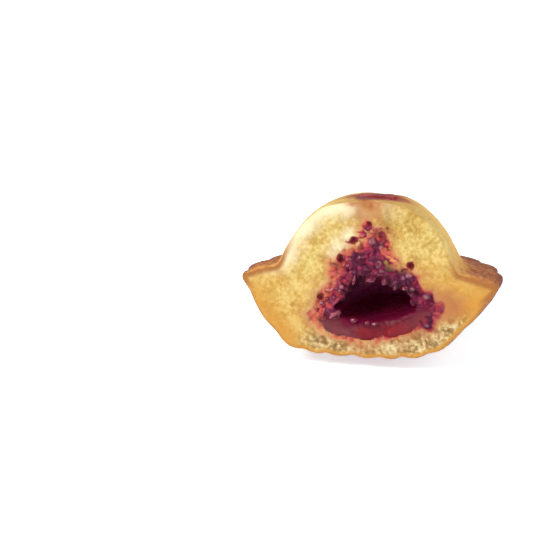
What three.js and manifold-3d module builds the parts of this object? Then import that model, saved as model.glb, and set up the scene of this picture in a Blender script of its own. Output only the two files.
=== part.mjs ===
// Half of a jam-filled madeleine cake, cut across its middle, resting on its ribbed shell side.
// Millimetres, +Z up. The cut faces -Y and leans back a little, the rounded tip points to +Y,
// and the origin is under the middle of the half, on the surface that it rests on.
//
// Shapes are worked out in the cake's own frame: x across, y along the cake with the cut at
// y = 0, and z = 0 at the rim, with the shell below it and the risen hump above. One group
// then leans the half back and sets it down.
import * as THREE from 'three';
import { mergeVertices } from 'three/addons/utils/BufferGeometryUtils.js';
import Module from 'manifold-3d';

const wasm = await Module();
wasm.setup();

// Driving dimensions of the whole cake, mm
const RIM_HALF_WIDTH = 24.8;
const RIM_HALF_LENGTH = 38;
const MIDDLE_Y = 4; // the cut misses the cake's middle by this much
const RIM_EDGE = 1.0; // thickness of the thin rim
const LEAN_DEG = 11.5; // how far the half rolls back on its round belly
const REST_CUT = 0.35; // depth of the small flat that it rests on
const GAP = 0.3; // clearance between the cake and its jam

// Shell side
const RIM_LIFT = 0.9; // the rim warps up this much at its right end
const SHELL_DEPTH = 13.1;
const SHELL_WALL = 0.4; // share of the half width that the curved wall takes
const SHELL_CORNER = 5; // how tightly the wall turns into the belly
const SHELL_SWAY = 0.8; // the belly hangs this far to the left of the rim's middle
const RIGHT_LIFT = 1.9; // the belly is this much shallower towards the right end
const KEEL_POWER = 0.62; // how bluntly the belly runs out at the tip
const FAN_Y = -50; // the ribs spread from here, past the other half's narrow end
const RIB_PITCH_DEG = 5.45;
const RIB_DEPTH = 0.95;
const RIB_FADE = 0.55; // share of their depth that the ribs lose at the cut
const RIB_FADE_LENGTH = 8;
const SCALLOP = 0.032; // share of the rim's radius that each notch takes

// Risen side
const FLANGE_RISE = 2.3; // the flange climbs this much from the rim to the hump's foot
const FLANGE_WIDTH = 0.31; // share of the rim's radius
const HUMP_X = -0.5;
const HUMP_Y = 4;
const HUMP_HALF_WIDTH = 17.4;
const HUMP_HALF_LENGTH = 31.5;
const HUMP_HEIGHT = 13.25;
const HUMP_POWER = 3;
const CUT_LIP_DROP = 0.12; // the crust sinks towards the cut
const CUT_LIP_LENGTH = 7;
const UNEVENNESS = 0.22;

// Cut face
const CUT_RELIEF = 0.34;
const CUT_CELL = 1.7; // spacing of the relief's grid

// Filling: a basin of jam, and the hollow above it that the jam left as it baked
const POCKET_TILT_DEG = 8; // both are higher on the right
const BASIN_AT = new THREE.Vector3(1.3, 1, -6.2);
const BASIN_RADII = new THREE.Vector3(11.3, 13.5, 4.5);
const HOLLOW_AT = new THREE.Vector3(1.8, 1, -4.6);
const HOLLOW_RADII = new THREE.Vector3(8.6, 11.5, 5.2);
const HOLLOW_POINT = 1.45; // 2 is round, and less draws the roof up like a tent's
const NOTCH_AT = new THREE.Vector3(-1.9, 0.5, -1.6); // the jam has drawn up into the crumb here
const NOTCH_RADII = new THREE.Vector3(1.7, 5, 3.1);
const JAM_LEVEL = -7.35;
const JAM_LOW_X = -1.5; // the jam's surface is lowest here
const JAM_CREEP = 0.025; // and climbs the walls, mm per square mm away from there
const JAM_OOZE = 0.35; // the cut jam stands out of the cut face by this much

// Spot of jam in a dip on top of the hump, close behind the cut's edge
const SPOT_AT = new THREE.Vector3(0, 6.8, 0);
const SPOT_RADII = new THREE.Vector3(3.9, 3.3, 1.3);

// Burst bubbles in the stained crumb round the pocket: x, z and radius
const BUBBLES = [
  [-5.5, 4.6, 0.9],
  [-3.2, 8.1, 0.85],
  [2.1, 9.4, 0.85],
  [7.9, 4.1, 0.8],
  [-0.3, 11.4, 0.55],
  [-9.1, -3.2, 0.6],
];

// Fineness of the meshes
const COLUMNS = 62;
const COLUMNS_PER_RIB = 6;
const ROWS = 18;
const SPARE = 3; // cake ahead of the cut, which the cut takes off
const POCKET_SEGMENTS = 32;

const between = (v, low, high) => Math.min(Math.max(v, low), high);

// A smooth unevenness of about -1 to 1 that repeats nowhere on the cake.
function uneven(a, b, wavelength, phase) {
  const k = (2 * Math.PI) / wavelength;
  const first = Math.sin(k * a + 1.7 * Math.sin(0.61 * k * b + phase) + phase);
  const second = Math.sin(k * 1.13 * b + 1.3 * Math.sin(0.73 * k * a + 2 * phase));
  return 0.5 * (first + second);
}

// Across the shell a rib's back is at each whole number and the sharp notch between two ribs
// at each half. A rib is a straight line that runs out from the fan's hub at this angle.
const ribAngle = (across) =>
  THREE.MathUtils.degToRad(RIB_PITCH_DEG * (across + 0.07 * Math.sin(2.1 * across + 0.8)));

const ribBack = (across) => Math.abs(Math.cos(Math.PI * across));

const rimLift = (x) => RIM_LIFT * between(x / RIM_HALF_WIDTH, 0, 1) ** 2;

function shellHeight(x, y, across) {
  const along = between((y - MIDDLE_Y) / RIM_HALF_LENGTH, -1, 1);
  const keel = Math.max(1 - along * along, 1e-9);
  const halfWidth = RIM_HALF_WIDTH * Math.sqrt(keel);
  const swayed = x + SHELL_SWAY * between(1 - (x / halfWidth) ** 2, 0, 1);
  const aside = between(Math.abs(swayed) / halfWidth, 0, 1);
  const wall = (1 - aside) / SHELL_WALL;
  const section = wall / Math.pow(1 + Math.pow(wall, SHELL_CORNER), 1 / SHELL_CORNER);
  const lift = RIGHT_LIFT * between(x / RIM_HALF_WIDTH, 0, 1) ** 2 * between(3 - 3 * aside, 0, 1);
  const belly = SHELL_DEPTH * Math.pow(keel, KEEL_POWER) * section - lift;
  const toCut = between(1 - y / RIB_FADE_LENGTH, 0, 1);
  const shallow = RIB_FADE * toCut * (1 - ribBack(across));
  const rib = RIB_DEPTH * (ribBack(across) + shallow) * between(belly / 2, 0, 1);
  return rimLift(x) - RIM_EDGE / 2 - belly - rib;
}

function crustHeight(x, y, radius) {
  const flange = RIM_EDGE / 2 + FLANGE_RISE * between((1 - radius) / FLANGE_WIDTH, 0, 1);
  const q = Math.hypot((x - HUMP_X) / HUMP_HALF_WIDTH, (y - HUMP_Y) / HUMP_HALF_LENGTH);
  const swell = 1 - Math.pow(Math.min(q, 1), HUMP_POWER);
  const toCut = between(1 - y / CUT_LIP_LENGTH, 0, 1);
  const lip = CUT_LIP_DROP * toCut * toCut * swell;
  const bumps = UNEVENNESS * uneven(x, y, 11, 0.4) * between((1 - radius) * 8, 0, 1);
  return rimLift(x) + flange + HUMP_HEIGHT * swell - lip + bumps;
}

// Joining and cutting
function solidFrom(geometry) {
  const bare = geometry.clone();
  bare.deleteAttribute('normal');
  bare.deleteAttribute('uv');
  const merged = mergeVertices(bare, 1e-4);
  return new wasm.Manifold(
    new wasm.Mesh({
      numProp: 3,
      vertProperties: new Float32Array(merged.attributes.position.array),
      triVerts: new Uint32Array(merged.index.array),
    }),
  );
}

function geometryFrom(solid) {
  const mesh = solid.getMesh();
  const geometry = new THREE.BufferGeometry();
  geometry.setAttribute('position', new THREE.BufferAttribute(mesh.vertProperties, 3));
  geometry.setIndex(new THREE.BufferAttribute(mesh.triVerts, 1));
  geometry.computeVertexNormals();
  return geometry;
}

// How far a rib's line runs from the hub to the rim.
function ribReach(angle) {
  const slope = Math.tan(angle);
  const a = (slope / RIM_HALF_WIDTH) ** 2 + 1 / RIM_HALF_LENGTH ** 2;
  const hubToMiddle = MIDDLE_Y - FAN_Y;
  const b = hubToMiddle / RIM_HALF_LENGTH ** 2;
  const c = hubToMiddle ** 2 / RIM_HALF_LENGTH ** 2 - 1;
  return (b + Math.sqrt(Math.max(b * b - a * c, 0))) / a;
}

// The half with some spare cake ahead of the cut: a fan of lines along the ribs, each a row of
// points from the spare end to the rim, for the crust above and for the shell below.
function uncutHalf() {
  const points = [];
  const faces = [];
  const start = -FAN_Y - SPARE;
  const columns = [];
  for (let i = 0; i <= COLUMNS; i++) {
    const across = (i - COLUMNS / 2) / COLUMNS_PER_RIB;
    columns.push({ across, angle: ribAngle(across) });
  }
  const side = (height, upward) => {
    const first = points.length / 3;
    for (const { across, angle } of columns) {
      const reach = Math.max(ribReach(angle), start + 0.2);
      for (let row = 0; row <= ROWS; row++) {
        const share = 1 - Math.pow(1 - row / ROWS, 1.3);
        const out = start + (reach - start) * share;
        const x = out * Math.tan(angle);
        const y = FAN_Y + out;
        const radius = Math.hypot(x / RIM_HALF_WIDTH, (y - MIDDLE_Y) / RIM_HALF_LENGTH);
        const notch = 1 - SCALLOP * (1 - ribBack(across)) * Math.pow(radius, 6);
        const z = height({ x, y, across, radius: Math.min(radius, 1) });
        points.push(x * notch, MIDDLE_Y + (y - MIDDLE_Y) * notch, z);
      }
    }
    const at = (column, row) => first + column * (ROWS + 1) + row;
    const face = (a, b, c) => faces.push(...(upward ? [a, b, c] : [a, c, b]));
    for (let column = 0; column < COLUMNS; column++)
      for (let row = 0; row < ROWS; row++) {
        face(at(column, row), at(column + 1, row), at(column + 1, row + 1));
        face(at(column, row), at(column + 1, row + 1), at(column, row + 1));
      }
    return at;
  };
  const crust = side(({ x, y, radius }) => crustHeight(x, y, radius), true);
  const shell = side(({ x, y, across }) => shellHeight(x, y, across), false);
  const wall = (a, b) => {
    faces.push(crust(...a), crust(...b), shell(...a));
    faces.push(crust(...b), shell(...b), shell(...a));
  };
  for (let column = 0; column < COLUMNS; column++) {
    wall([column, ROWS], [column + 1, ROWS]);
    wall([column + 1, 0], [column, 0]);
  }
  for (let row = 0; row < ROWS; row++) {
    wall([0, row], [0, row + 1]);
    wall([COLUMNS, row + 1], [COLUMNS, row]);
  }
  const geometry = new THREE.BufferGeometry();
  geometry.setAttribute('position', new THREE.Float32BufferAttribute(points, 3));
  geometry.setIndex(faces);
  return solidFrom(geometry);
}

// A block in front of the cut, with the torn face's relief on its far side.
const cutRelief = (x, z) =>
  CUT_RELIEF * (uneven(x, z, 9.5, 1.1) + 0.6 * uneven(x, z, 4.3, 2.6));

function blockBefore(faceDepth) {
  const halfWidth = RIM_HALF_WIDTH + 2;
  const low = -SHELL_DEPTH - 3;
  const high = HUMP_HEIGHT + FLANGE_RISE + 4;
  const depth = RIM_HALF_LENGTH * 2;
  const box = new THREE.BoxGeometry(
    2 * halfWidth,
    depth,
    high - low,
    Math.round((2 * halfWidth) / CUT_CELL),
    1,
    Math.round((high - low) / CUT_CELL),
  );
  box.translate(0, -depth / 2, (high + low) / 2);
  const at = box.attributes.position;
  for (let i = 0; i < at.count; i++)
    if (Math.abs(at.getY(i)) < 1e-6) at.setY(i, faceDepth(at.getX(i), at.getZ(i)));
  return solidFrom(box);
}

// A round body with softly uneven walls, turned in the plane of the cut. A point under 2 makes
// its section there angular, like a tent.
function softBall(centre, radii, { unevenness = 0, segments = 16, tilt = 0, point = 2 } = {}) {
  const ball = new THREE.SphereGeometry(1, segments, Math.round(segments * 0.6));
  ball.rotateX(Math.PI / 2);
  const at = ball.attributes.position;
  const v = new THREE.Vector3();
  for (let i = 0; i < at.count; i++) {
    v.fromBufferAttribute(at, i);
    const out = Math.hypot(v.x, v.z);
    const corners = Math.abs(v.x / out) ** point + Math.abs(v.z / out) ** point;
    const drawn = out > 1e-6 ? Math.pow(corners, -1 / point) : 1;
    const swell = 1 + unevenness * uneven(v.x, v.z, 0.9, v.y);
    v.multiply(new THREE.Vector3(drawn * swell, swell, drawn * swell)).multiply(radii);
    v.applyAxisAngle(new THREE.Vector3(0, -1, 0), THREE.MathUtils.degToRad(tilt)).add(centre);
    at.setXYZ(i, v.x, v.y, v.z);
  }
  return solidFrom(ball);
}

const shrunk = (radii) => radii.clone().subScalar(GAP);
const POCKET_SHAPE = { unevenness: 0.03, segments: POCKET_SEGMENTS, tilt: POCKET_TILT_DEG };

const basin = (radii) => softBall(BASIN_AT, radii, POCKET_SHAPE);

function hollow() {
  const room = softBall(HOLLOW_AT, HOLLOW_RADII, { ...POCKET_SHAPE, point: HOLLOW_POINT });
  return room.add(softBall(NOTCH_AT, NOTCH_RADII, { segments: 12 }));
}

// Everything below a surface at some height over the jam's, which creeps up the walls.
function belowJamSurface(over) {
  const reach = BASIN_RADII.clone().multiplyScalar(1.3);
  const foot = -SHELL_DEPTH;
  const box = new THREE.BoxGeometry(2 * reach.x, 2 * reach.y, 1, 12, 12, 1);
  box.translate(BASIN_AT.x, BASIN_AT.y, 0);
  const at = box.attributes.position;
  for (let i = 0; i < at.count; i++) {
    const away = (at.getX(i) - JAM_LOW_X) ** 2 + (at.getY(i) - BASIN_AT.y) ** 2;
    at.setZ(i, at.getZ(i) > 0 ? JAM_LEVEL + JAM_CREEP * away + over : foot);
  }
  return solidFrom(box);
}

function spotCentre() {
  const height = crustHeight(SPOT_AT.x, SPOT_AT.y, 0);
  return new THREE.Vector3(SPOT_AT.x, SPOT_AT.y, height);
}

// Everything under the resting surface, in the cake's frame.
function underRest(solid) {
  const lean = new THREE.Matrix4().makeRotationX(THREE.MathUtils.degToRad(-LEAN_DEG));
  const leaning = geometryFrom(solid).applyMatrix4(lean);
  leaning.computeBoundingBox();
  const size = 2 * RIM_HALF_LENGTH;
  const slab = new THREE.BoxGeometry(size, 2 * size, size);
  slab.translate(0, 0, leaning.boundingBox.min.z + REST_CUT - size / 2);
  return solidFrom(slab.applyMatrix4(lean.invert()));
}

function cakeSolid() {
  let cake = uncutHalf().subtract(blockBefore(cutRelief));
  cake = cake.subtract(basin(BASIN_RADII).intersect(belowJamSurface(GAP)));
  cake = cake.subtract(hollow());
  cake = cake.subtract(softBall(spotCentre(), SPOT_RADII));
  for (const [x, z, radius] of BUBBLES) {
    const centre = new THREE.Vector3(x, cutRelief(x, z), z);
    const radii = new THREE.Vector3(radius, radius * 1.2, radius);
    cake = cake.subtract(softBall(centre, radii, { segments: 8 }));
  }
  return cake.subtract(underRest(cake));
}

function jamFillingSolid() {
  const oozed = blockBefore((x, z) => cutRelief(x, z) - JAM_OOZE);
  return basin(shrunk(BASIN_RADII)).intersect(belowJamSurface(0)).subtract(oozed);
}

function jamSpotSolid() {
  const centre = spotCentre();
  const flatTop = shrunk(SPOT_RADII).setZ(SPOT_RADII.z);
  const sunk = centre.clone().setZ(centre.z - SPOT_RADII.z + GAP);
  return softBall(centre, shrunk(SPOT_RADII))
    .intersect(softBall(sunk, flatTop))
    .subtract(blockBefore(cutRelief));
}

// Materials
const spongeMaterial = new THREE.MeshStandardMaterial({ color: 0xe0ab58, roughness: 0.85 });
const jamMaterial = new THREE.MeshStandardMaterial({ color: 0x7a1230, roughness: 0.15 });

function mesh(name, solid, material) {
  const made = new THREE.Mesh(geometryFrom(solid), material);
  made.name = name;
  return made;
}

const leaning = new THREE.Group();
leaning.rotation.x = THREE.MathUtils.degToRad(-LEAN_DEG);
leaning.add(mesh('cake', cakeSolid(), spongeMaterial));
leaning.add(mesh('jam_filling', jamFillingSolid(), jamMaterial));
leaning.add(mesh('jam_spot', jamSpotSolid(), jamMaterial));

const madeleine = new THREE.Group();
madeleine.add(leaning);
const bounds = new THREE.Box3().setFromObject(madeleine, true);
const middle = bounds.getCenter(new THREE.Vector3());
leaning.position.set(-middle.x, -middle.y, -bounds.min.z);

export default madeleine;
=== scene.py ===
"""Half of a madeleine cake with jam in it, cut across and lying on its ribbed side.

The sponge, the jam in its hollow and the spot of jam on top are each made from the solid that
they stand for: its form is kept, remeshed finely, and baked into crust, crumb and wet crumb.
Positions are worked out in the cake's own frame, in millimetres: x across, y back from the
cut, z up from the rim.
"""

import math

import bmesh
import bpy
import numpy as np
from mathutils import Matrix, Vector, kdtree


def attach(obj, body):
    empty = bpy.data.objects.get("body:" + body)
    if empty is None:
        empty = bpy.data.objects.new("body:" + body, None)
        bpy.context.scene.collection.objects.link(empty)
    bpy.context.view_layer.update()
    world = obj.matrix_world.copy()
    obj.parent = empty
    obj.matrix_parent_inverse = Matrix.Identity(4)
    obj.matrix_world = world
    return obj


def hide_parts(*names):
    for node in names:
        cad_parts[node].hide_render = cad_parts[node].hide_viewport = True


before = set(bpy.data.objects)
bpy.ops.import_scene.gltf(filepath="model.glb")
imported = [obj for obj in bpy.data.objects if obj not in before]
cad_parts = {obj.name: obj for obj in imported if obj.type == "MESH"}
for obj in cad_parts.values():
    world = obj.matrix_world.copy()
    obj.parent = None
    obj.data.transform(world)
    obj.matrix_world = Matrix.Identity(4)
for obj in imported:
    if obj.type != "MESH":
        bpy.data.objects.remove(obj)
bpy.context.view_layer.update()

MM = 0.001

# Where the cake's own frame lies in the part's frame
LEAN = math.radians(11.5)  # the half has rolled back on its belly
CUT_ORIGIN = np.array([-0.02, -19.17, 16.40])  # middle of the cut at the rim's height, mm

# The baked form, mm in the cake's frame
RIM_HALF_WIDTH = 24.8
RIM_HALF_LENGTH = 38.0
MIDDLE_Y = 4.0
RIB_HUB_Y = -50.0  # the ribs fan out from a point this far in front of the cut
RIB_PITCH = math.radians(5.45)
RIB_SHIFT = 0.07  # ribs are set off from an even pitch by this share of it, in a slow wave
RIB_SHIFT_RATE = 2.1
RIB_SHIFT_START = 0.8
SPOT_CENTRE = (0.0, 6.8)
JAM_GAP = 0.3  # between the sponge's solid and the jam's
JAM_LEVEL = -7.35  # how high the jam stands at JAM_LOW_X, where it is lowest
JAM_LOW_X = -1.5
JAM_CREEP = 0.025  # how the jam climbs towards the ends, 1/mm

# Hollow, the notch at its top, and the basin of jam: centre, radii, tilt, and 2 for round
POCKETS = [
    ((1.8, 1.0, -4.6), (8.6, 11.5, 5.2), math.radians(8), 1.45),
    ((-1.9, 0.5, -1.6), (1.7, 5.0, 3.1), 0.0, 2.0),
    ((1.3, 1.0, -6.2), (11.3, 13.5, 4.5), math.radians(8), 2.0),
]
BASIN = POCKETS[2]

# Bubbles that burst at the cut: x, z and radius
BURST_BUBBLES = [
    (-5.5, 4.6, 0.9),
    (-3.2, 8.1, 0.85),
    (2.1, 9.4, 0.85),
    (7.9, 4.1, 0.8),
    (-0.3, 11.4, 0.55),
    (-9.1, -3.2, 0.6),
]

# How far jam has soaked into the crumb at the cut: x and z round the stain
STAIN = np.array(
    [
        (-11.8, -6.2), (-10.8, -3.0), (-8.5, 0.4), (-7.6, 3.4), (-6.4, 5.4), (-4.6, 7.9),
        (-2.2, 9.2), (-1.2, 11.9), (2.8, 11.5), (4.3, 9.1), (4.2, 6.4), (5.8, 4.8),
        (7.6, 3.8), (9.2, 2.6), (11.0, 0.8), (12.8, -1.4), (14.4, -3.6), (13.9, -5.6),
        (12.4, -8.0), (7.6, -9.9), (1.8, -10.9), (-1.2, -11.4), (-4.9, -11.1), (-7.8, -10.1),
        (-11.0, -8.4),
    ]
)  # fmt: skip

# Drops of syrup on the soaked crumb and on the jam's brim: x and z of the middle, half width,
# half height
DRIPS = [
    (-2.9, 0.6, 0.4, 1.0),
    (0.4, 0.9, 1.1, 0.6),
    (2.9, 0.7, 0.5, 0.8),
    (5.0, -0.2, 0.45, 0.6),
    (6.9, -0.3, 0.6, 0.5),
    (8.7, -2.6, 0.7, 0.6),
    (9.8, -4.0, 0.6, 0.5),
    (-5.6, -1.6, 0.4, 0.5),
    (-6.6, -2.9, 0.45, 0.4),
    (-7.8, -3.6, 0.45, 0.45),
    (-8.8, -4.4, 0.45, 0.4),
    (-2.0, 5.2, 0.35, 0.6),
    (1.4, 3.9, 0.45, 0.4),
    (-4.2, 3.2, 0.4, 0.35),
    (-2.6, -7.1, 0.75, 0.5),
    (0.1, -7.4, 0.6, 0.4),
    (1.4, -7.5, 0.8, 0.5),
]
DROP_FACING = np.array([-0.255, -0.876, 0.409])  # the flat side, which catches the window
DROP_FLATNESS = 0.4
DROP_BEHIND_CUT = 0.45  # where the drops' middles lie, mm
DROP_UNEVENNESS = 0.35
NEXT_DROP = 7  # how far into the noise the next drop is shaped, so that no two are alike

# Fine meshes: size of the grid in mm, and rounds of smoothing that take the facets off
SPONGE_GRID = 0.17
SPONGE_ROUNDS = 6
SPONGE_TRIANGLES = 196000
JAM_GRID = 0.2
JAM_ROUNDS = 10
SPOT_GRID = 0.12
SPOT_ROUNDS = 8

# Noise that pushes things about, so that they aren't regular: the size of its lumps and how far
# it pushes, mm, and its seed
BENDS = {
    "burst bubble": (0.9, 0.35, 17),
    "stain": (2.6, 1.1, 11),
    "tint": (1.4, 0.5, 23),
    "torn": (1.6, 0.6, 81),
    "lump": (1.1, 0.6, 41),
    "clump": (1.1, 0.5, 41),
    "peel": (1.2, 0.4, 97),
    "film": (1.2, 0.4, 139),
    "gel": (2.0, 0.6, 119),
}

# Lumps and pores: how far apart they lie, mm, and their seed
GRAINS = {
    "lump": (0.8, 43),
    "wet lump": (1.25, 87),
    "grit": (0.6, 91),
    "pinhole": (1.4, 91),
}

# Unevenness: the size of its broadest swells, mm, its seed, and how many layers of swells
UNEVEN = {
    "tint": (1.3, 31, 2),
    "mottle": (2.8, 51, 3),
    "soft crumb": (2.8, 61, 3),
    "clump": (1.3, 47, 2),
    "broad wet": (3.2, 83, 2),
    "fine wet": (1.1, 85, 3),
    "overhang": (1.6, 89, 1),
    "peel": (1.1, 101, 2),
    "crust swell": (2.4, 111, 3),
    "oven": (7.0, 121, 3),
    "ring": (2.4, 131, 3),
    "dribble": (1.6, 137, 3),
    "film": (1.9, 149, 3),
    "drop": (1.0, 151, 2),
    "jam swell": (2.2, 121, 3),
    "jam crest": (1.3, 133, 3),
    "jam depth": (1.8, 125, 3),
    "jam brim": (1.8, 129, 1),
    "jam skin": (3.0, 127, 3),
    "spot swell": (2.0, 131, 1),
    "spot edge": (2.2, 133, 2),
    "spot depth": (1.5, 135, 1),
}
MOUTH_SHOVES = (1.7, 141)

# How far the sponge's grain stands out, mm
HEIGHTS = {
    "soft crumb": 0.22,
    "lump": 0.1,
    "open lump": 0.2,
    "open clump": 0.3,
    "broad wet": 0.5,
    "fine wet": 0.7,
    "wet lump": 0.45,
    "grit": 0.28,
    "lump by lump": 0.3,
    "peel": 0.16,
    "crust swell": 0.06,
    "pinhole": 0.2,
}

NEAR_CUT = 2.5  # mm behind the cut that count as seen from the front
CLEAR_OF_POCKETS = 1.2  # a wall distance past which the sponge is no pocket's
FAR = 99.0  # mm, further than anything on the cake


# ---------------------------------------------------------------- colour and noise


def linear(hex_colour):
    """An sRGB hex colour as linear RGBA."""
    channels = [int(hex_colour[i : i + 2], 16) / 255 for i in (1, 3, 5)]
    curved = [c / 12.92 if c <= 0.04045 else ((c + 0.055) / 1.055) ** 2.4 for c in channels]
    return (*curved, 1.0)


# Large odd numbers that mix a cell's place and a seed, and stir what comes out, so that it looks
# random but is the same every time
X_MIXER, Y_MIXER, Z_MIXER, SEED_MIXER = 374761393, 668265263, 1440670441, 974634777
STIRRERS = ((13, 1274126177), (16, 2246822519))
LAST_SHIFT = 15
LOW_32_BITS = 0xFFFFFFFF


def scatter(cells, seed):
    """A repeatable number from 0 to 1 for each whole-numbered cell."""
    x, y, z = (cells[..., i].astype(np.int64) for i in range(3))
    h = (x * X_MIXER + y * Y_MIXER + z * Z_MIXER + seed * SEED_MIXER) & LOW_32_BITS
    for shift, stirrer in STIRRERS:
        h = ((h ^ (h >> shift)) * stirrer) & LOW_32_BITS
    return (h ^ (h >> LAST_SHIFT)) / LOW_32_BITS


def swells(points, size, seed):
    """Soft noise from -1 to 1 with lumps of about this size in mm."""
    scaled = points / size
    base = np.floor(scaled)
    t = scaled - base
    t = t * t * (3 - 2 * t)
    total = np.zeros(len(points))
    for corner in np.ndindex(2, 2, 2):
        offset = np.array(corner)
        weight = np.prod(np.where(offset, t, 1 - t), axis=1)
        total += weight * scatter(base + offset, seed)
    return 2 * total - 1


FINER = 0.55  # how high each finer layer of noise is against the last
NEXT_AXIS = 9  # from the seed of one axis's noise to the next one's
OWN_NUMBER = 7  # from the seed of a point's place to that of its own number


def crumbling(points, size, seed, layers):
    """Swells on swells, each layer half the size and FINER times the height of the last."""
    total = sum(FINER**i * swells(points, size / 2**i, seed + i) for i in range(layers))
    return total / sum(FINER**i for i in range(layers))


def shoves(points, size, seed):
    """A push from -1 to 1 on each axis for each point."""
    axes = [crumbling(points, size, seed + NEXT_AXIS * i, layers=2) for i in range(3)]
    return np.stack(axes, axis=1)


def bent(points, size, amount, seed):
    """The points pushed about by noise, so that what is drawn with them isn't regular."""
    return points + amount * shoves(points, size, seed)


def bubbles(points, size, seed):
    """Distance to the nearest of a scatter of points about this far apart, in sizes, and a
    number from 0 to 1 that is that point's own."""
    scaled = points / size
    base = np.floor(scaled)
    nearest = np.full(len(points), FAR)
    own = np.zeros(len(points))
    for step in np.ndindex(3, 3, 3):
        cell = base + np.array(step) - 1
        spot = cell + np.stack([scatter(cell, seed + i) for i in range(3)], axis=1)
        distance = np.linalg.norm(scaled - spot, axis=1)
        closer = distance < nearest
        nearest = np.where(closer, distance, nearest)
        own = np.where(closer, scatter(cell, seed + OWN_NUMBER), own)
    return nearest, own


def ramp(value, low, high):
    """0 below low, 1 above high, and a smooth step between."""
    t = np.clip((value - low) / (high - low), 0, 1)
    return t * t * (3 - 2 * t)


# ---------------------------------------------------------------- the cake's own frame


def to_cake(points):
    """Part frame in metres to the cake's frame in mm."""
    p = points / MM - CUT_ORIGIN
    c, s = math.cos(LEAN), math.sin(LEAN)
    return np.stack([p[:, 0], p[:, 1] * c - p[:, 2] * s, p[:, 1] * s + p[:, 2] * c], axis=1)


def to_part(points):
    """The cake's frame in mm to the part frame in metres."""
    c, s = math.cos(LEAN), math.sin(LEAN)
    x, y, z = points.T
    return (np.stack([x, y * c + z * s, -y * s + z * c], axis=1) + CUT_ORIGIN) * MM


# ---------------------------------------------------------------- fine meshes


# A round of smoothing goes half way in, and a little further back out
SMOOTH_IN = 0.5
SMOOTH_OUT = 0.52


class FineMesh:
    """A CAD node's form on an even fine grid, as arrays in the cake's frame."""

    def __init__(self, node_name, grid_mm, smooth_rounds):
        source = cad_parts[node_name].copy()
        source.data = source.data.copy()
        bpy.context.scene.collection.objects.link(source)
        even = source.modifiers.new("even grid", "REMESH")
        even.mode = "VOXEL"
        even.voxel_size = grid_mm * MM
        shown = source.evaluated_get(bpy.context.evaluated_depsgraph_get())
        self.mesh = bpy.data.meshes.new_from_object(shown)
        bpy.data.objects.remove(source)
        count = len(self.mesh.vertices)
        flat = np.empty(count * 3, np.float32)
        self.mesh.vertices.foreach_get("co", flat)
        self.at = to_cake(flat.reshape(-1, 3).astype(float))
        edges = np.empty(len(self.mesh.edges) * 2, np.int32)
        self.mesh.edges.foreach_get("vertices", edges)
        self.edges = edges.reshape(-1, 2)
        self.degree = np.bincount(self.edges.ravel(), minlength=count)
        self.relax(smooth_rounds)

    def neighbour_mean(self, values):
        """For each vertex, the mean of what its neighbours have."""
        a, b = self.edges.T
        columns = values.reshape(len(values), -1)
        summed = [
            np.bincount(a, columns[b, i], len(values)) + np.bincount(b, columns[a, i], len(values))
            for i in range(columns.shape[1])
        ]
        return (np.stack(summed, axis=1) / self.degree[:, None]).reshape(values.shape)

    def relax(self, rounds):
        """Smooths without shrinking: each round in is followed by one back out."""
        for _ in range(rounds):
            self.at += SMOOTH_IN * (self.neighbour_mean(self.at) - self.at)
            self.at -= SMOOTH_OUT * (self.neighbour_mean(self.at) - self.at)

    def soften(self, values, rounds):
        """The values evened out between neighbours."""
        for _ in range(rounds):
            values = 0.5 * (values + self.neighbour_mean(values))
        return values

    def normals(self):
        """Outward directions in the cake's frame."""
        self.store()
        flat = np.empty(len(self.at) * 3, np.float32)
        self.mesh.vertex_normals.foreach_get("vector", flat)
        n = flat.reshape(-1, 3).astype(float)
        c, s = math.cos(LEAN), math.sin(LEAN)
        return np.stack([n[:, 0], n[:, 1] * c - n[:, 2] * s, n[:, 1] * s + n[:, 2] * c], axis=1)

    def store(self):
        """Puts the points back into the mesh."""
        self.mesh.vertices.foreach_set("co", to_part(self.at).astype(np.float32).ravel())
        self.mesh.update()

    def mark(self, **masks):
        """Keeps numbers for each vertex, for the material to read."""
        for name, values in masks.items():
            layer = self.mesh.attributes.new(name, "FLOAT", "POINT")
            layer.data.foreach_set("value", np.asarray(values, np.float32))

    def finish(self, name, material):
        """The mesh as a piece of the scene."""
        self.store()
        return placed(name, self.mesh, material)


def placed(name, mesh, material):
    """A smooth piece of this mesh and material in the scene."""
    mesh.polygons.foreach_set("use_smooth", [True] * len(mesh.polygons))
    mesh.materials.clear()
    mesh.materials.append(material)
    piece = bpy.data.objects.new(name, mesh)
    bpy.context.scene.collection.objects.link(piece)
    return piece


def thinned(piece, triangles):
    """The piece's mesh with about this many triangles, fewest where it is smooth."""
    count = sum(len(face.vertices) - 2 for face in piece.data.polygons)
    thin = piece.modifiers.new("thin", "DECIMATE")
    thin.ratio = min(1, triangles / count)
    shown = piece.evaluated_get(bpy.context.evaluated_depsgraph_get())
    mesh = bpy.data.meshes.new_from_object(shown)
    piece.modifiers.remove(thin)
    return mesh


# ---------------------------------------------------------------- where things are on the cake


def wall_distance(p, pocket):
    """1 on the wall of a pocket, less inside it."""
    centre, radii, tilt, point = pocket
    d = p - np.array(centre)
    x = np.abs(d[:, 0] * math.cos(tilt) + d[:, 2] * math.sin(tilt)) / radii[0]
    z = np.abs(d[:, 2] * math.cos(tilt) - d[:, 0] * math.sin(tilt)) / radii[2]
    section = (x**point + z**point) ** (1 / point)
    return np.hypot(section, d[:, 1] / radii[1])


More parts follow.
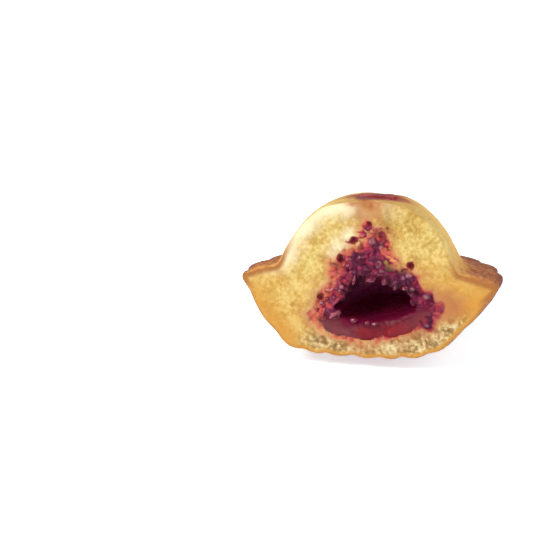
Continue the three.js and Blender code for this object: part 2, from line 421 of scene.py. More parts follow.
def inside_outline(p, outline):
    """mm inside a closed outline of x and z, negative outside."""
    q = p[:, [0, 2]]
    nearest = np.full(len(q), FAR)
    inside = np.zeros(len(q), bool)
    for a, b in zip(outline, np.roll(outline, -1, axis=0)):
        along = b - a
        t = np.clip((q - a) @ along / (along @ along), 0, 1)
        nearest = np.minimum(nearest, np.linalg.norm(q - a - t[:, None] * along, axis=1))
        spans = (a[1] > q[:, 1]) != (b[1] > q[:, 1])
        inside ^= spans & (q[:, 0] < a[0] + (q[:, 1] - a[1]) / (b[1] - a[1]) * along[0])
    return np.where(inside, nearest, -nearest)


def burst_bubble(p):
    """mm inside the nearest burst bubble at the cut, negative outside."""
    inside = [r - np.hypot(p[:, 0] - x, p[:, 2] - z) for x, z, r in BURST_BUBBLES]
    return np.where(p[:, 1] < NEAR_CUT, np.max(inside, axis=0), -FAR)


def rib_back(p):
    """1 on the back of a rib, 0 in the notch between two."""
    across = np.arctan2(p[:, 0], p[:, 1] - RIB_HUB_Y) / RIB_PITCH
    across -= RIB_SHIFT * np.sin(RIB_SHIFT_RATE * across + RIB_SHIFT_START)
    return np.abs(np.cos(np.pi * across))


# ---------------------------------------------------------------- materials


# The colour mixer has sockets that share a name, so they are given by number
MIX_SHARE, MIX_UNDER, MIX_OVER = 0, 6, 7
MIXED = 2


def node(tree, kind, inputs, out=0, stops=(), **settings):
    """Adds a node and gives back one of its outputs. Each input is a value or the output that
    feeds it, and stops are the places and colours of a colour ramp."""
    made = tree.nodes.new(kind)
    for name, value in settings.items():
        setattr(made, name, value)
    for socket, value in inputs.items():
        if isinstance(value, bpy.types.NodeSocket):
            tree.links.new(value, made.inputs[socket])
        else:
            made.inputs[socket].default_value = value
    for i, (place, colour) in enumerate(stops):
        elements = made.color_ramp.elements
        element = elements[i] if i < 2 else elements.new(place)
        element.position = place
        element.color = linear(colour)
    return made.outputs[out]


def new_material(name, **skin_values):
    """A material with these values on its skin, and its tree and skin to add to."""
    material = bpy.data.materials.new(name)
    material.use_nodes = True
    skin = material.node_tree.nodes["Principled BSDF"]
    for socket, value in skin_values.items():
        skin.inputs[socket.replace("_", " ")].default_value = value
    return material, material.node_tree, skin


# Size of what shows finest, mm, drawn coarser than the real pores and wrinkles so that it shows
CRUMB_SPECK = 0.7
SPONGE_PORE = 0.4
PORE_DEPTH = 0.2
JAM_WRINKLE = 1.1
WRINKLE_DEPTH = 0.5
STAIN_COVERS = 2.4  # how soon the brown round the puddle hides the crust under it


def sponge_material(name, roughness, shine, syrup):
    """Butter sponge baked in a metal tin: soft pale crumb that light soaks into, and a thin dry
    golden crust, darkest where the batter touched the tin. Where jam has soaked in, the crumb
    is red to purple, and a coat of syrup makes it glint."""
    material, tree, skin = new_material(
        name,
        Roughness=roughness,
        Specular_IOR_Level=shine,
        Coat_Weight=syrup,
        Coat_Roughness=0.1,
        Coat_IOR=1.45,
        Subsurface_Weight=0.3,
        Subsurface_Radius=(1.0, 0.6, 0.3),
        Subsurface_Scale=1.0 * MM,
    )
    attributes = (
        "mottle", "gold", "cream", "beige", "lumps", "edge", "juice", "crumb", "browned",
        "spot_stain", "film", "soaked", "bloom", "wet", "cleft", "hollow",
    )  # fmt: skip
    mask = {
        name: node(tree, "ShaderNodeAttribute", {}, "Fac", attribute_name=name)
        for name in attributes
    }

    def over(under, share, colour):
        """The colour laid over what is under it, as much as the mask says."""
        layers = {MIX_SHARE: share, MIX_UNDER: under, MIX_OVER: colour}
        return node(tree, "ShaderNodeMix", layers, MIXED, data_type="RGBA")

    place = node(tree, "ShaderNodeTexCoord", {}, "Object")
    speck = {"Vector": place, "Scale": 1 / (CRUMB_SPECK * MM), "Detail": 3.0, "Roughness": 0.65}
    specks = node(tree, "ShaderNodeTexNoise", speck, "Fac")

    def speckled(tone, amount):
        """The tone with fine specks lighter and darker than it."""
        lowered = node(tree, "ShaderNodeMath", {0: tone, 1: -amount / 2}, operation="ADD")
        added = {0: specks, 1: amount, 2: lowered}
        return node(tree, "ShaderNodeMath", added, operation="MULTIPLY_ADD")

    crumb = node(
        tree,
        "ShaderNodeValToRGB",
        {"Fac": speckled(mask["mottle"], 1.5)},
        stops=[(0.1, "#AE833C"), (0.9, "#E7CB80"), (0.5, "#CFA655")],
    )
    crumb = over(crumb, mask["gold"], linear("#D6973F"))
    # Paler cream by the crust on the left: partly the crumb's own paler colour, partly painted
    # light where that edge faces the window.
    crumb = over(crumb, mask["cream"], linear("#FBE9C2"))
    # Coarse open crumb: pale flecks on its lumps and painted shade in the crevices between them.
    open_crumb = node(
        tree,
        "ShaderNodeValToRGB",
        {"Fac": speckled(mask["lumps"], 1.8)},
        stops=[(0.1, "#8E6C42"), (0.9, "#EAD4A4"), (0.5, "#CCA870")],
    )
    crumb = over(crumb, mask["beige"], open_crumb)
    crumb = over(crumb, mask["edge"], linear("#B0703A"))
    crumb = over(crumb, mask["juice"], linear("#C07A48"))
    crust = node(
        tree,
        "ShaderNodeValToRGB",
        {"Fac": speckled(mask["browned"], 0.5)},
        stops=[
            (0.05, "#EDBF68"),
            (0.95, "#5A2614"),
            (0.3, "#DFA450"),
            (0.52, "#C4783A"),
            (0.74, "#944C26"),
        ],
    )
    surface = over(crust, mask["crumb"], crumb)
    spotted = node(
        tree,
        "ShaderNodeValToRGB",
        {"Fac": mask["spot_stain"]},
        stops=[(0.1, "#D09A58"), (0.95, "#5A2238"), (0.35, "#B0683C"), (0.65, "#7C3E3C")],
    )
    covering = {0: mask["spot_stain"], 1: STAIN_COVERS}
    stained = node(tree, "ShaderNodeMath", covering, operation="MULTIPLY", use_clamp=True)
    surface = over(surface, stained, spotted)
    surface = over(surface, mask["film"], linear("#A2262A"))
    soaked = node(
        tree,
        "ShaderNodeValToRGB",
        {"Fac": speckled(mask["soaked"], 0.5)},
        stops=[
            (0.0, "#D2A470"),
            (1.0, "#60103A"),
            (0.14, "#D48C5C"),
            (0.3, "#D67252"),
            (0.55, "#C8464A"),
            (0.8, "#A22A4A"),
        ],
    )
    # Painted sheen: a pale pink on the tops of the wet lumps.
    soaked = over(soaked, mask["bloom"], linear("#D28A90"))
    # Painted shade: near black in creases, bubbles and pockets and round the hollow's mouth, and
    # darker towards the stain's right end.
    soaked = over(soaked, mask["cleft"], linear("#3C061A"))
    soaked = over(soaked, mask["hollow"], linear("#701A40"))
    surface = over(surface, mask["wet"], soaked)
    tree.links.new(surface, skin.inputs["Base Color"])

    pores = {"Vector": place, "Scale": 1 / (SPONGE_PORE * MM), "Detail": 4.0, "Roughness": 0.6}
    height = node(tree, "ShaderNodeTexNoise", pores, "Fac")
    rough = {"Strength": 0.8, "Distance": PORE_DEPTH * MM, "Height": height}
    bump = node(tree, "ShaderNodeBump", rough, "Normal")
    tree.links.new(bump, skin.inputs["Normal"])
    return material


def jam_material(name, roughness, ior):
    """Cooked red fruit jam with sugar and pectin: a clear dark red gel with a wet skin, almost
    black where it is deep and bright red where it is thin."""
    material, tree, skin = new_material(
        name,
        Roughness=roughness,
        IOR=ior,
        Subsurface_Weight=0.25,
        Subsurface_Radius=(1.0, 0.12, 0.1),
        Subsurface_Scale=1.5 * MM,
    )
    deep = node(tree, "ShaderNodeAttribute", {}, "Fac", attribute_name="deep")
    gel = node(
        tree,
        "ShaderNodeValToRGB",
        {"Fac": deep},
        stops=[(0.0, "#A81E22"), (1.0, "#700E32"), (0.3, "#7E1A26"), (0.6, "#661226")],
    )
    # A greyer mauve is painted on its front: a painted reflection of the white room on the wet
    # gel.
    dulled = node(tree, "ShaderNodeAttribute", {}, "Fac", attribute_name="dulled")
    layers = {MIX_SHARE: dulled, MIX_UNDER: gel, MIX_OVER: linear("#76444A")}
    gel = node(tree, "ShaderNodeMix", layers, MIXED, data_type="RGBA")
    tree.links.new(gel, skin.inputs["Base Color"])
    place = node(tree, "ShaderNodeTexCoord", {}, "Object")
    wrinkles = {"Vector": place, "Scale": 1 / (JAM_WRINKLE * MM), "Detail": 2.0, "Roughness": 0.5}
    height = node(tree, "ShaderNodeTexNoise", wrinkles, "Fac")
    rough = {"Strength": 0.7, "Distance": WRINKLE_DEPTH * MM, "Height": height}
    bump = node(tree, "ShaderNodeBump", rough, "Normal")
    tree.links.new(bump, skin.inputs["Normal"])
    return material


# ---------------------------------------------------------------- the pieces


KNIFE_EDGE_ROUNDS = 24
DOME_TOP = 15.5
MOUTH_TORN_BY = 1.1  # how far the hollow's edge wanders, mm, less by the jam
MOUTH_WALL, MOUTH_WIDTH = 1.02, 0.09  # the torn edge's middle and width, as wall distances
LUMP_REACH = 1.6  # how much further jam has got in one lump than in another, mm
SET_BACK = 0.5  # how far behind the cut the soaked crumb has sunk, mm

# How brown each place is, from 0 for pale to 1 for burnt; by the cut the crust is paler, partly
# painted light
BROWNING = {
    "dome": 0.12,
    "flange": 0.33,
    "rim": 0.16,
    "dome's foot": 0.26,
    "shell": 0.58,
    "rib's back": 0.2,
    "by the cut": 0.16,
    "patches": 0.16,
    "peel": 0.35,
}

# How much juice has tinted the crumb at each place
JUICE = {"round the stain": 0.55, "channel": 0.65, "under the puddle": 0.95, "smear": 0.9}

# How deep in colour the soaked crumb is in a bubble, and at the least inside the stain
BUBBLE_SOAKED = 0.55
LEAST_SOAKED = 0.36

# How dark the painted shade on the soaked crumb is at each place, and how much darker the crumb is
# at the stain's right end
DARKNESS = {
    "between lumps": 0.42,
    "between grit": 0.28,
    "burst bubble": 0.5,
    "hollow's mouth": 0.9,
    "right end": 0.32,
}
SPOT_STRETCH = 1.25  # how much wider than deep the puddle on top is

# Where jam has got to, mm: x and y of the dribble on top; x of the channel that it rose in;
# x and z, on the cut, of what seeped under the puddle and of the smear on the right
DRIBBLE_AT = (-1.0, 2.5)
CHANNEL_X = -0.6
PUDDLE_SEEP_AT = (-1.2, 16.0)
SMEAR_AT = (14.5, -3.2)


class SpongeSurface:
    """The points of the cake's surface: what each is made of, and how far each lies from what
    has changed it. Distances are in mm, and shares run from 0 to 1."""

    def __init__(self, cake):
        self.cake = cake
        self.p = cake.at.copy()
        self.n = cake.normals()
        self.x, self.y, self.z = self.p.T
        self.wall = np.min([wall_distance(self.p, pocket) for pocket in POCKETS], axis=0)
        self.at_basin = wall_distance(self.p, BASIN)
        self.by_jam = 1 - ramp(self.at_basin, 1.0, 1.16)
        self.tint = crumbling(bent(self.p, *BENDS["tint"]), *UNEVEN["tint"])
        self.peel = np.abs(crumbling(bent(self.p, *BENDS["peel"]), *UNEVEN["peel"]))
        self.find_crumb()
        self.measure_from_crust()
        self.find_stain()
        self.find_lumps()

    def find_crumb(self):
        """Crumb shows on the cut, on the pockets' walls and in the burst bubbles."""
        faces_front = ramp(-self.n[:, 1], 0.5, 0.8)
        self.at_cut = faces_front * (1 - ramp(self.y, 1.0, 1.6))
        self.pocket = (1 - ramp(self.wall, 1.05, CLEAR_OF_POCKETS)) * (1 - self.at_cut)
        self.in_bubble = ramp(burst_bubble(bent(self.p, *BENDS["burst bubble"])), -0.15, 0.05)
        shown = np.max([self.at_cut, self.pocket, self.in_bubble], axis=0)
        self.crumb = self.cake.soften(shown, 1)

    def measure_from_crust(self):
        """How far each point of the cut is from the crust round it."""
        crust = (self.crumb < 0.3) & (self.wall > CLEAR_OF_POCKETS)
        edge = np.flatnonzero((self.y < NEAR_CUT) & crust)
        crust_edge = kdtree.KDTree(len(edge))
        for i in edge:
            crust_edge.insert(self.p[i], int(i))
        crust_edge.balance()
        self.from_crust = np.full(len(self.p), FAR)
        for i in np.flatnonzero(self.at_cut > 0.1):
            self.from_crust[i] = crust_edge.find(self.p[i])[2]

    def find_stain(self):
        """How far inside the stain each point is, and how wet that makes it."""
        x, y, z = self.x, self.y, self.z
        self.torn = bent(self.p, *BENDS["torn"])
        self.from_wet_lump, self.wet_own = bubbles(self.torn, *GRAINS["wet lump"])
        self.from_grit, self.grit_own = bubbles(self.torn, *GRAINS["grit"])
        lump_by_lump = LUMP_REACH * (self.wet_own - 0.5) * ramp(z, 1, 6)
        self.reach = inside_outline(bent(self.p, *BENDS["stain"]), STAIN) + lump_by_lump
        in_front = 1 - ramp(y, NEAR_CUT, 4.0)
        self.crumb = np.maximum(self.crumb, ramp(self.reach, 0, 0.6) * in_front)
        wet = ramp(self.reach, -0.5, 0.6) * self.crumb
        wet = np.max([wet, self.in_bubble, self.pocket], axis=0)
        # Jam has passed some lumps by, at the stain's upper right.
        near_edge = ramp(3.4 - self.reach, 0, 1.2)
        left_dry = ramp(self.wet_own, 0.5, 0.62) * near_edge * ramp(x, -0.5, 2) * ramp(z, 2, 4)
        wet *= 1 - 0.85 * left_dry * (1 - self.in_bubble) * (1 - self.pocket)
        self.wet = wet
        self.sunk = ramp(self.reach, 0.0, 1.4) * (1 - 0.8 * self.by_jam * self.at_cut)

    def find_lumps(self):
        """The dry crumb's lumps, and where the crumb is coarse and open: under the jam."""
        self.from_lump, self.lump_own = bubbles(bent(self.p, *BENDS["lump"]), *GRAINS["lump"])
        self.clump = crumbling(bent(self.p, *BENDS["clump"]), *UNEVEN["clump"])
        below_jam = 1 - ramp(self.z - 0.15 * self.x, -10.5, -6.0)
        self.coarse = below_jam * ramp(self.x, -15, -9) * self.at_cut

    # What is done to the shape

    def raise_grain(self):
        """Lifts the lumps, sinks the creases and sets the soaked crumb back from the cut."""
        dry, wet = self.dry_relief(), self.wet_relief()
        crumb_relief = dry * (1 - self.sunk) + wet * self.sunk
        relief = crumb_relief * self.crumb + self.crust_relief() * (1 - self.crumb)
        self.cake.at += self.n * relief[:, None]
        self.cake.at[:, 1] += SET_BACK * self.sunk * (1 - ramp(self.y, 0.5, NEAR_CUT))

    def dry_relief(self):
        """Soft crumb with small lumps, and coarse open crumb under the jam."""
        soft = HEIGHTS["soft crumb"] * crumbling(self.p, *UNEVEN["soft crumb"])
        soft += HEIGHTS["lump"] * (0.5 - self.from_lump)
        open_lumps = HEIGHTS["open lump"] * (0.45 - self.from_lump)
        return soft + self.coarse * (open_lumps + HEIGHTS["open clump"] * self.clump)

    def wet_relief(self):
        """Torn wet lumps with grit on them."""
        relief = HEIGHTS["broad wet"] * crumbling(self.torn, *UNEVEN["broad wet"])
        relief += HEIGHTS["fine wet"] * crumbling(self.torn, *UNEVEN["fine wet"])
        lumps = HEIGHTS["wet lump"] * (0.4 - self.from_wet_lump)
        lumps += HEIGHTS["grit"] * (0.4 - self.from_grit)
        lumps += HEIGHTS["lump by lump"] * (self.wet_own - 0.5)
        relief = (relief + lumps) * (1 - 0.7 * self.pocket)
        # Crumb hangs over the jam's edge, furthest at the basin's two ends.
        over_jam = 1 - ramp(self.at_basin, 1.05, 1.15)
        over_jam *= self.pocket * (1 - ramp(self.y, 1.0, NEAR_CUT))
        at_ends = ramp(np.abs(self.x - BASIN[0][0]), 6.5, 9.5)
        overhang = 0.5 + 0.8 * crumbling(self.torn, *UNEVEN["overhang"])
        return relief + over_jam * overhang * (1 + 1.2 * at_ends)

    def crust_relief(self):
        """A fine orange-peel grain with a few pinholes."""
        from_pin, own = bubbles(self.p, *GRAINS["pinhole"])
        pinholes = ramp(0.2 - from_pin, 0, 0.12) * (own > 0.6) * HEIGHTS["pinhole"]
        peel = HEIGHTS["peel"] * np.sqrt(self.peel) - HEIGHTS["peel"] / 2
        swell = HEIGHTS["crust swell"] * crumbling(self.p, *UNEVEN["crust swell"])
        return peel + swell - pinholes

    def tear_mouth(self):
        """The hollow's mouth is torn, so its edge wanders."""
        near_edge = np.exp(-(((self.wall - MOUTH_WALL) / MOUTH_WIDTH) ** 2))
        at_mouth = near_edge * (1 - ramp(self.y, 1.0, 3.5))
        far = (MOUTH_TORN_BY - self.by_jam) * at_mouth
        self.cake.at += far[:, None] * shoves(self.p, *MOUTH_SHOVES)

    def soften_knife_edge(self):
        """A knife through soft sponge leaves no sharp edge."""
        by_edge = (1 - ramp(self.from_crust, 0.3, 1.0)) * self.at_cut
        crust_side = (1 - self.at_cut) * (1 - ramp(self.y, 0.6, 1.8))
        by_edge += crust_side * (self.wall > CLEAR_OF_POCKETS)
        smooth = self.cake.soften(self.cake.at, KNIFE_EDGE_ROUNDS)
        self.cake.at += by_edge[:, None] * (smooth - self.cake.at)

    # What is done to the colour

    def browned(self):
        """Browning: the rim and the shell most, the top of the dome least."""
        x, y, z = self.x, self.y, self.z
        radius = np.hypot(x / RIM_HALF_WIDTH, (y - MIDDLE_Y) / RIM_HALF_LENGTH)
        on_flange, on_rim = ramp(radius, 0.62, 0.84), ramp(radius, 0.93, 1.0)
        on_shell = ramp(-self.n[:, 2], -0.1, 0.35) * (1 - self.at_cut)
        above = BROWNING["dome"] + BROWNING["flange"] * on_flange + BROWNING["rim"] * on_rim
        above += BROWNING["dome's foot"] * ramp(DOME_TOP - z, 1, 12) * ramp(radius, 0.3, 0.75)
        shell = BROWNING["shell"] + BROWNING["rib's back"] * rib_back(self.p)
        browned = np.maximum(above, on_shell * shell)
        # Paler by the cut: partly the crust's paler colour there, partly painted light where the
        # lamps leave that side too dim.
        browned -= BROWNING["by the cut"] * (1 - ramp(y, 0.5, 5)) * (1 - on_shell)
        patches = BROWNING["patches"] * crumbling(self.p, *UNEVEN["oven"])
        browned += patches + BROWNING["peel"] * (0.3 - np.sqrt(self.peel))
        return np.clip(browned, 0, 1)

    def round_puddle(self):
        """The brown stain round the puddle on top, and the thin film of jam at its edge."""
        x, y, z = self.x, self.y, self.z
        from_spot = np.hypot((x - SPOT_CENTRE[0]) / SPOT_STRETCH, y - SPOT_CENTRE[1])
        ring = ramp(7.8 - from_spot + 1.8 * crumbling(self.p, *UNEVEN["ring"]), 0, 5)
        from_dribble = np.hypot((x - DRIBBLE_AT[0]) * 1.1, y - DRIBBLE_AT[1])
        dribble = ramp(3.6 - from_dribble + crumbling(self.p, *UNEVEN["dribble"]), 0, 2.2)
        dribble *= 1 - 0.5 * self.at_cut * (1 - ramp(z + 0.5 * self.tint, 14.2, 15.0))
        stain = (0.5 * ring + 0.42 * dribble) * ramp(z, 13, 14.5)
        ragged = 2.1 * crumbling(bent(self.p, *BENDS["film"]), *UNEVEN["film"])
        film = 0.9 * ramp(3.6 + ragged - from_spot, 0, 0.35) * (1 - self.at_cut)
        return stain, film

    def juice(self):
        """Juice that tints the crumb: round the stain, in the channel by which jam rose to the
        top, under the puddle there, and in a smear that the knife left on the right."""
        x, z, tint = self.x, self.z, self.tint
        round_stain = JUICE["round the stain"] * ramp(self.reach + 1.5 * tint, -2.6, 0.6)
        near_channel = 1 - ramp(np.abs(x - CHANNEL_X) + 0.8 * tint, 1.8, 3.6)
        channel = JUICE["channel"] * near_channel * ramp(z + 1.5 * tint, 9.5, 12.5)
        from_puddle = np.hypot((x - PUDDLE_SEEP_AT[0]) / 1.7, z - PUDDLE_SEEP_AT[1]) + 1.1 * tint
        under_puddle = JUICE["under the puddle"] * (1 - ramp(from_puddle, 1.3, 3.2))
        from_smear = np.hypot((x - SMEAR_AT[0]) / 1.4, z - SMEAR_AT[1]) + tint
        smear = JUICE["smear"] * (1 - ramp(from_smear, 1.5, 4.5))
        return np.max([round_stain, channel, under_puddle, smear], axis=0) * self.crumb

    def soaked(self):
        """How deep in colour the soaked crumb is: less at the stain's edge, on the left and at
        the top, and different from lump to lump."""
        x, z = self.x, self.z
        far_left, right = 1 - ramp(x, -7, -3), ramp(x, 4, 9)
        deepens_over = 2.6 + 1.6 * far_left - 0.8 * right
        soaked = ramp(self.reach + 1.2 * self.tint, -0.6, deepens_over) - 0.12 * ramp(z, 5, 9)
        soaked -= 0.16 * (1 - ramp(x, -6, -2))
        soaked = soaked * (1 - self.in_bubble) + BUBBLE_SOAKED * self.in_bubble
        lump_by_lump = 0.72 * (0.6 * self.wet_own + 0.4 * self.grit_own - 0.5)
        return np.maximum(soaked + lump_by_lump, LEAST_SOAKED * ramp(self.reach, 0.1, 1.2))

    def cleft(self):
        """Painted shade on the soaked crumb, where shade falls: in creases, bubbles and pockets
        and round the hollow's mouth. The pockets are also dark with the jam that lines them, and
        the crumb is darker towards the stain's right end."""
        crease = DARKNESS["between lumps"] * ramp(self.from_wet_lump, 0.4, 0.8)
        crease += DARKNESS["between grit"] * ramp(self.from_grit, 0.45, 0.85)
        hollow, notch = POCKETS[:2]
        from_hollow = np.minimum(wall_distance(self.p, hollow), wall_distance(self.p, notch))
        at_mouth = (1 - ramp(from_hollow + 0.1 * self.tint, 1.04, 1.32)) * (1 - self.by_jam)
        dark = [
            crease * self.sunk,
            DARKNESS["burst bubble"] * self.in_bubble,
            self.pocket * ramp(self.y, 0.2, 1.2),
            DARKNESS["hollow's mouth"] * at_mouth,
            DARKNESS["right end"] * ramp(self.x, 8, 11),
        ]
        return np.max(dark, axis=0)

    def mark_colours(self):
        """Keeps what the sponge's material reads."""
        x, y, z = self.x, self.y, self.z
        inside_edge = ramp(self.from_crust, 0.5, 1.5)
        low = ramp(4.0 - z, 0, 9)
        low_gold = 0.25 * low + 0.6 * low * (1 - ramp(self.from_crust, 0.5, 6))
        right_gold = 0.5 * ramp(x, 3, 16) * (1 - ramp(z, 2, 8)) * (1 - self.coarse)
        dim_middle = 0.3 * ramp(z, 5, 11) * (1 - ramp(np.abs(x - 1), 5, 10))
        # Tone that differs at random, lighter on each lump and darker between lumps, a painted
        # shade there.
        mottle = 0.62 + 0.5 * crumbling(self.p, *UNEVEN["mottle"]) + 0.4 * (0.5 - self.from_lump)
        flange_top = ramp(z, -3, -1) * ramp(np.abs(x), 14, 17)
        flange_top *= 1 - ramp(self.from_crust, 0.7, 1.5)
        crust_line = (1 - ramp(self.from_crust, 0.1, 0.8)) * ramp(1 - z, 0, 2) * 0.7
        # Paler near the crust on the upper cut: partly the crumb's own colour, partly painted
        # light on the edge that faces the window.
        pale_rim = (1 - ramp(self.from_crust + self.clump, 0.5, 4.5)) * ramp(z, -1, 5)
        # Pale flecks on the coarse crumb's lumps, and painted shade in the crevices between them.
        lumps = 0.5 + 0.8 * (0.45 - self.from_lump) + 0.5 * self.clump
        # Painted sheen on the tops of the wet lumps, where they would glint.
        glint = 0.7 * ramp(self.wet_own, 0.4, 0.85) * ramp(0.55 - self.from_wet_lump, 0, 0.35)
        torn_back = (1 - ramp(y, 2, 7)) * ramp(z, 2, 5)
        spot_stain, film = self.round_puddle()
        self.cake.mark(
            crumb=np.maximum(self.crumb, 0.7 * torn_back),
            mottle=mottle - dim_middle,
            gold=(1 - 0.8 * self.coarse * inside_edge) * low_gold + right_gold,
            beige=self.coarse * inside_edge,
            edge=np.maximum(crust_line, flange_top),
            cream=pale_rim * ramp(-x, -8, 4) * 0.9,
            lumps=lumps + 0.3 * (self.lump_own - 0.5),
            juice=self.juice(),
            soaked=self.soaked(),
            wet=self.wet,
            syrupy=self.wet * (1 - self.pocket),
            bloom=glint * ramp(self.reach, 0.3, 1.6),
            cleft=self.cleft(),
            hollow=self.pocket * ramp(y, 3.0, 8.0),
            browned=self.browned(),
            spot_stain=spot_stain,
            film=film,
        )


def make_sponge(dry, soaked_through):
    """The cake itself: ribbed crust, domed top, torn crumb and the soaked crumb of the hollow."""
    cake = FineMesh("cake", SPONGE_GRID, SPONGE_ROUNDS)
    surface = SpongeSurface(cake)
    surface.raise_grain()
    surface.tear_mouth()
    surface.soften_knife_edge()
    surface.mark_colours()
    piece = cake.finish("sponge", dry)
    piece.data = thinned(piece, SPONGE_TRIANGLES)
    # Faces that syrup has reached are of the soaked crumb's material.
    piece.data.materials.append(soaked_through)
    syrupy = np.empty(len(piece.data.vertices), np.float32)
    piece.data.attributes["syrupy"].data.foreach_get("value", syrupy)
    for face in piece.data.polygons:
        face.material_index = int(syrupy[face.vertices[0]] > 0.5)
    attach(piece, "root")
    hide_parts("cake")


def make_drips(material):
    """Drops of syrup that lie on the soaked crumb and on the jam's brim and shine."""
    ball = bmesh.new()
    bmesh.ops.create_icosphere(ball, subdivisions=4, radius=1)
    ball_at = np.array([v.co for v in ball.verts])
    ball_faces = np.array([[v.index for v in face.verts] for face in ball.faces])
    ball.free()
    at, faces = [], []
    for i, (x, z, width, height) in enumerate(DRIPS):
        own_noise = crumbling(ball_at + i * NEXT_DROP, *UNEVEN["drop"])
        lumpy = 1 + DROP_UNEVENNESS * own_noise[:, None]
        drop = ball_at * lumpy * np.array([width, 0.5 * (width + height), height])
        drop -= (1 - DROP_FLATNESS) * (drop @ DROP_FACING)[:, None] * DROP_FACING
        faces.append(ball_faces + i * len(ball_at))
        at.append(np.array([x, DROP_BEHIND_CUT, z]) + drop)
    mesh = bpy.data.meshes.new("drips")
    mesh.from_pydata(to_part(np.concatenate(at)).tolist(), [], np.concatenate(faces).tolist())
    layer = mesh.attributes.new("deep", "FLOAT", "POINT")
    layer.data.foreach_set("value", np.ones(len(mesh.vertices), np.float32))
    piece = placed("jam_drips", mesh, material)
    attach(piece, "root")


# The jam in the basin, mm: how far it is pressed into the sponge, how far behind the cut it
# ends, and how much further where it meets the sponge
JAM_PRESSED_IN = 0.7
JAM_BEHIND_CUT = 0.65
JAM_BEHIND_SPONGE = 0.5
JAM_SWELL_HEIGHT = 0.10
JAM_CREST_HEIGHT = 0.14
BRIM_ROUNDS = 150
JAM_LAST_ROUNDS = 6


def make_jam(material):
    """The jam in the basin, swollen to close the solids' gap, with a soft wet skin."""
    jam = FineMesh("jam_filling", JAM_GRID, JAM_ROUNDS)
    n = jam.normals()
    p = jam.at.copy()
    x, y, z = p.T
    facing_out = ramp(-n[:, 1], 0.6, 0.9)
    under_crumb = ramp(wall_distance(p, POCKETS[0]), 0.98, 1.06)
    to_wall = np.maximum(1 - ramp(n[:, 2], 0.2, 0.6), under_crumb) * (1 - facing_out)
    swell = JAM_SWELL_HEIGHT * crumbling(p, *UNEVEN["jam swell"])
    jam.at = p + n * (to_wall * (JAM_GAP + JAM_PRESSED_IN) + swell)[:, None]
    set_back = JAM_BEHIND_CUT + JAM_BEHIND_SPONGE * to_wall
    jam.at[:, 1] += set_back * (1 - ramp(y, 0.5, 2.0))
    # Its front rolls over into the hollow without an edge.
    brim = JAM_LEVEL + JAM_CREEP * (x - JAM_LOW_X) ** 2
    rolled = ramp(z - brim, -2.5, -0.8) * (1 - ramp(y, 2.5, 5))
    rolled *= 1 - ramp(wall_distance(p, BASIN), 0.6, 0.85)
    jam.at += rolled[:, None] * (jam.soften(jam.at, BRIM_ROUNDS) - jam.at)
    jam.relax(JAM_LAST_ROUNDS)
    crest = JAM_CREST_HEIGHT * crumbling(p, *UNEVEN["jam crest"])
    jam.at[:, 2] += crest * (1 - ramp(y, 1.5, 4))
    # Deep in colour but for its front, which is thin there. Inside the hollow and along the brim
    # it is darker, partly the thick jam's colour and partly painted shade. Its front bears a
    # painted reflection of the white room, a greyer mauve.
    at_brim = ramp(z - brim + 0.9 * crumbling(p, *UNEVEN["jam brim"]), -1.9, 0.0)
    inner = np.maximum(ramp(y, -0.2, 1.6), at_brim)
    depth = 0.3 + 0.35 * crumbling(bent(p, *BENDS["gel"]), *UNEVEN["jam depth"]) + 0.7 * inner
    dull = 0.6 * ramp(1.5 * crumbling(p, *UNEVEN["jam skin"]) - x, 0, 5) + 0.3 * ramp(x, 4, 9)
    jam.mark(deep=np.clip(depth, 0, 1), dulled=dull * (1 - inner))
    piece = jam.finish("jam_pool", material)
    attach(piece, "root")
    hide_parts("jam_filling")


SPOT_PRESSED_IN = 0.1
SPOT_SWELL_HEIGHT = 0.08


def make_jam_spot(material):
    """The puddle of jam on top of the dome."""
    spot = FineMesh("jam_spot", SPOT_GRID, SPOT_ROUNDS)
    n = spot.normals()
    p = spot.at.copy()
    down = 1 - ramp(n[:, 2], -0.3, 0.4)
    swell = SPOT_SWELL_HEIGHT * crumbling(p, *UNEVEN["spot swell"])
    spot.at = p + n * (down * (JAM_GAP + SPOT_PRESSED_IN) + swell)[:, None]
    # Its edge has crept out over the crust, further in some places than in others.
    away = p[:, :2] - np.array(SPOT_CENTRE)
    from_middle = np.linalg.norm(away, axis=1)
    crept = ramp(from_middle, 1.8, 3.2) * ramp(n[:, 2], 0.2, 0.6)
    crept *= 0.35 + 0.75 * crumbling(p * np.array([1, 1, 0]), *UNEVEN["spot edge"])
    spot.at[:, :2] += crept[:, None] * away / np.maximum(from_middle, 0.1)[:, None]
    in_middle = 1 - ramp(from_middle, 0.5, 2.6)
    spot.mark(deep=0.1 + 0.2 * in_middle + 0.15 * crumbling(p, *UNEVEN["spot depth"]))
    piece = spot.finish("jam_spot_on_top", material)
    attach(piece, "root")
    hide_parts("jam_spot")


# ---------------------------------------------------------------- stage


FLOOR_REACH = 3.0  # m


def make_floor():
    """A wide table that reaches the horizon."""
    mesh = bpy.data.meshes.new("floor")
    sides = [(-1, -1), (1, -1), (1, 1), (-1, 1)]
    corners = [(x * FLOOR_REACH, y * FLOOR_REACH, 0) for x, y in sides]
    mesh.from_pydata(corners, [], [(0, 1, 2, 3)])
    # White acrylic lit from below: shadows on it stay pale.
    material = new_material(
        "white acrylic",
        Base_Color=linear("#EAF9FF"),
        Roughness=0.9,
        Specular_IOR_Level=0.0,
        Emission_Color=linear("#E8F6FF"),
        Emission_Strength=0.6,
    )[0]
    placed("floor", mesh, material)


def aim(thing, target):
    """Turns a lamp or the camera to look at a point."""
    thing.rotation_mode = "QUATERNION"
    thing.rotation_quaternion = (target - thing.location).to_track_quat("-Z", "Y")


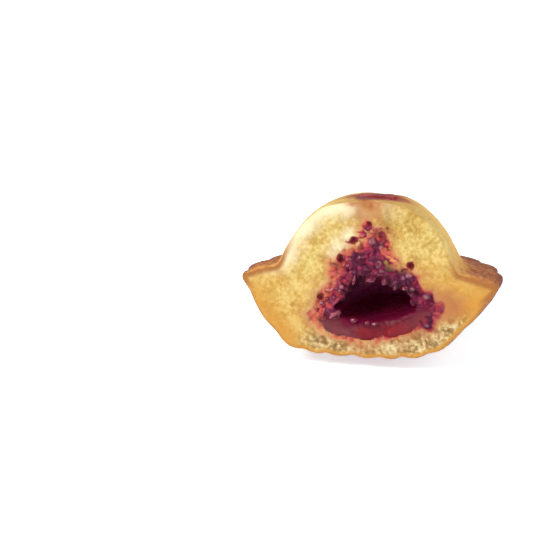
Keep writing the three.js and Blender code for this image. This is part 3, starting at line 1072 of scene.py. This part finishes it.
# Lamps: place and width in m, watts, colour
LAMPS = {
    "window on the left": ((-0.26, -0.22, 0.3), 0.18, 1.15, "#FFFCF6"),
    "fill on the right": ((0.5, -0.15, 0.35), 0.5, 1.35, "#FFFFFF"),
    "small low lamp": ((-0.02, -0.48, 0.14), 0.06, 0.22, "#FFFFFF"),
}
LAMPS_AIM_AT = Vector((0, -0.01, 0.015))  # m, the middle of the cake's front
ROOM_IN_FRONT = 0.12  # how bright the room is, so that wet surfaces there stay deep in colour
ROOM_BEHIND = 0.85


def soft_box(name, place, size, watts, colour):
    """A square lamp that looks at the cake."""
    light = bpy.data.lights.new(name, "AREA")
    light.shape = "SQUARE"
    light.size = size
    light.energy = watts
    light.color = linear(colour)[:3]
    made = bpy.data.objects.new(name, light)
    made.location = place
    bpy.context.scene.collection.objects.link(made)
    aim(made, LAMPS_AIM_AT)


def make_light():
    """A white room, brightest behind the cake, with its lamps in it."""
    world = bpy.data.worlds.new("white studio")
    world.use_nodes = True
    tree = world.node_tree
    direction = node(tree, "ShaderNodeTexCoord", {}, "Generated")
    to_back = node(tree, "ShaderNodeSeparateXYZ", {0: direction}, "Y")
    dimmed = {"Value": to_back, "From Min": -1.0, "To Min": ROOM_IN_FRONT, "To Max": ROOM_BEHIND}
    strength = node(tree, "ShaderNodeMapRange", dimmed)
    tree.links.new(strength, tree.nodes["Background"].inputs["Strength"])
    tree.nodes["Background"].inputs["Color"].default_value = (1, 1, 1, 1)
    bpy.context.scene.world = world
    for name, lamp in LAMPS.items():
        soft_box(name, *lamp)
    bpy.context.scene.view_settings.view_transform = "Standard"


FRAME_PX = 540
CAMERA_AZIMUTH = math.radians(9)
CAMERA_ELEVATION = math.radians(21.5)
CAMERA_DISTANCE = 0.5  # m
SENSOR_WIDTH = 36  # mm
NEAREST_SEEN = 0.01  # m
FURTHEST_SEEN = 20
PX_PER_MM = 5.28
CUT_ORIGIN_PX = (368.5, 283)  # where the middle of the cut at the rim's height lies


def make_camera():
    """The camera, in front and above, with the cake at its place in the frame."""
    a, e = CAMERA_AZIMUTH, CAMERA_ELEVATION
    back = Vector((math.sin(a) * math.cos(e), -math.cos(a) * math.cos(e), math.sin(e)))
    right = Vector((math.cos(a), math.sin(a), 0))
    up = back.cross(right)
    subject = Vector(CUT_ORIGIN) * MM
    data = bpy.data.cameras.new("camera")
    data.sensor_width = SENSOR_WIDTH
    data.lens = SENSOR_WIDTH * CAMERA_DISTANCE / (FRAME_PX / PX_PER_MM * MM)
    camera = bpy.data.objects.new("camera", data)
    bpy.context.scene.collection.objects.link(camera)
    camera.location = subject + back * CAMERA_DISTANCE
    to_right = (CUT_ORIGIN_PX[0] - FRAME_PX / 2) / PX_PER_MM * MM
    downward = (CUT_ORIGIN_PX[1] - FRAME_PX / 2) / PX_PER_MM * MM
    aim(camera, subject - right * to_right + up * downward)
    data.clip_start = NEAREST_SEEN
    data.clip_end = FURTHEST_SEEN
    bpy.context.scene.camera = camera


dry_sponge = sponge_material("butter sponge", roughness=0.66, shine=0.2, syrup=0.0)
soaked_sponge = sponge_material("jam-soaked sponge", roughness=0.5, shine=0.1, syrup=0.22)
make_sponge(dry_sponge, soaked_sponge)
jam = jam_material("red fruit jam", roughness=0.3, ior=1.24)
syrupy_jam = jam_material("syrupy red fruit jam", roughness=0.08, ior=1.6)
set_jam = jam_material("red fruit jam set in the oven", roughness=0.35, ior=1.14)
make_jam(jam)
make_drips(syrupy_jam)
make_jam_spot(set_jam)
make_floor()
make_light()
make_camera()
